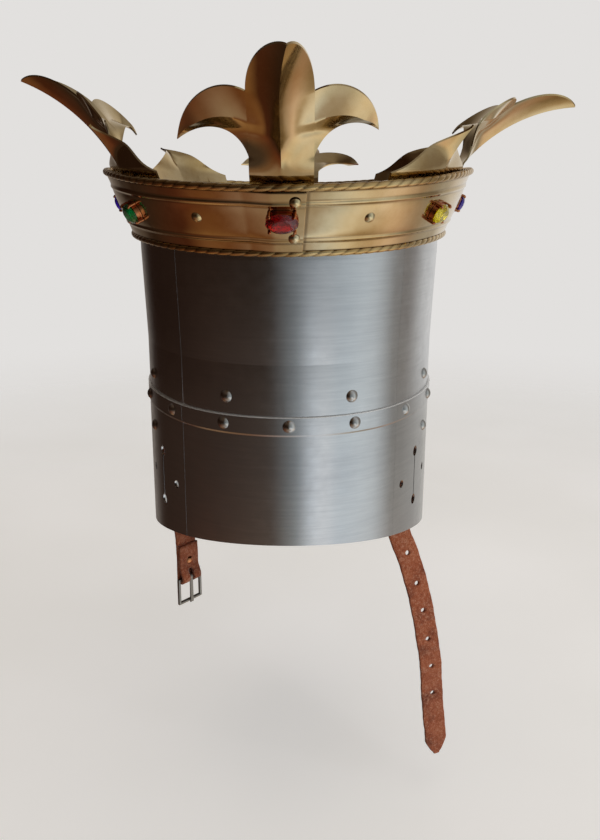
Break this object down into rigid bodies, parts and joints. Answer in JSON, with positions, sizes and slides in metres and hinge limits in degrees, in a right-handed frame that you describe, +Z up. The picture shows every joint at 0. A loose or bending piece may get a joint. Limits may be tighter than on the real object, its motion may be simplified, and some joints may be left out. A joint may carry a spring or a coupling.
{
  "type": "great helm",
  "caption": "Crowned great helm: riveted steel plates on an oval plan, a flared brass crown with fleurs and cut stones, a suspension liner and leather chin straps.",
  "frame": {"origin": "the point inside, under the middle of the liner's tongues, where the top of the wearer's head sits", "axes": "+Z up, +Y the way the wearer faces, +X to the wearer's right; the pictured back faces -Y"},
  "size_m": [0.4284, 0.5226, 0.5584],
  "materials": {
    "steel_plate": "satin",
    "steel_rivet": "polished",
    "crown_brass": "polished",
    "setting_copper": "polished",
    "red_stone": "polished",
    "purple_stone": "polished",
    "green_stone": "polished",
    "yellow_stone": "polished",
    "liner_leather": "matt",
    "lace_cord": "matt",
    "strap_leather": "matt",
    "buckle_steel": "satin"
  },
  "bodies": {
    "root": {"top_plate": "steel_plate", "upper_back_plate": "steel_plate", "upper_front_plate": "steel_plate", "lower_back_plate": "steel_plate", "lower_front_plate": "steel_plate", "top_rivets": "steel_rivet", "joint_rivets": "steel_rivet", "side_seam_rivets": "steel_rivet", "liner_rivets": "steel_rivet", "strap_rivets": "steel_rivet", "liner_band": "liner_leather", "liner_tongues": "liner_leather", "liner_lace": "lace_cord", "crown_band": "crown_brass", "crown_top_rope": "crown_brass", "crown_bottom_rope": "crown_brass", "crown_brackets": "crown_brass", "crown_rivets": "crown_brass", "seam_rivets": "crown_brass", "fleur_back": "crown_brass", "fleur_front": "crown_brass", "fleur_left": "crown_brass", "fleur_right": "crown_brass", "leaf_back_left": "crown_brass", "leaf_back_right": "crown_brass", "leaf_front_left": "crown_brass", "leaf_front_right": "crown_brass", "gem_settings": "setting_copper", "gem_back": "red_stone", "gem_front": "red_stone", "gem_left": "purple_stone", "gem_right": "purple_stone", "gem_back_left": "green_stone", "gem_back_right": "yellow_stone", "gem_front_left": "yellow_stone", "gem_front_right": "green_stone"},
    "left_strap": {"strap_left": "strap_leather", "fold_rivet": "setting_copper"},
    "right_strap": {"strap_right": "strap_leather"},
    "buckle": {"buckle_frame": "buckle_steel"},
    "tongue": {"buckle_tongue": "buckle_steel"}
  },
  "joints": [
    {"name": "left_strap_swing", "type": "hinge", "parent": "root", "child": "left_strap", "pos_m": [-0.10491, -0.05681, -0.1405], "axis": [-0.9411, -0.3381, 0], "range_deg": [-10, 10]},
    {"name": "right_strap_swing", "type": "hinge", "parent": "root", "child": "right_strap", "pos_m": [0.10491, -0.05681, -0.1405], "axis": [0.9411, -0.3381, 0], "range_deg": [-10, 10]},
    {"name": "buckle_turn", "type": "hinge", "parent": "left_strap", "child": "buckle", "pos_m": [-0.08338, -0.05188, -0.2738], "axis": [0.646, 0.7634, 0], "range_deg": [-140, 140]},
    {"name": "tongue_turn", "type": "hinge", "parent": "buckle", "child": "tongue", "pos_m": [-0.08338, -0.05188, -0.2738], "axis": [-0.646, -0.7634, 0], "range_deg": [0, 100]}
  ]
}
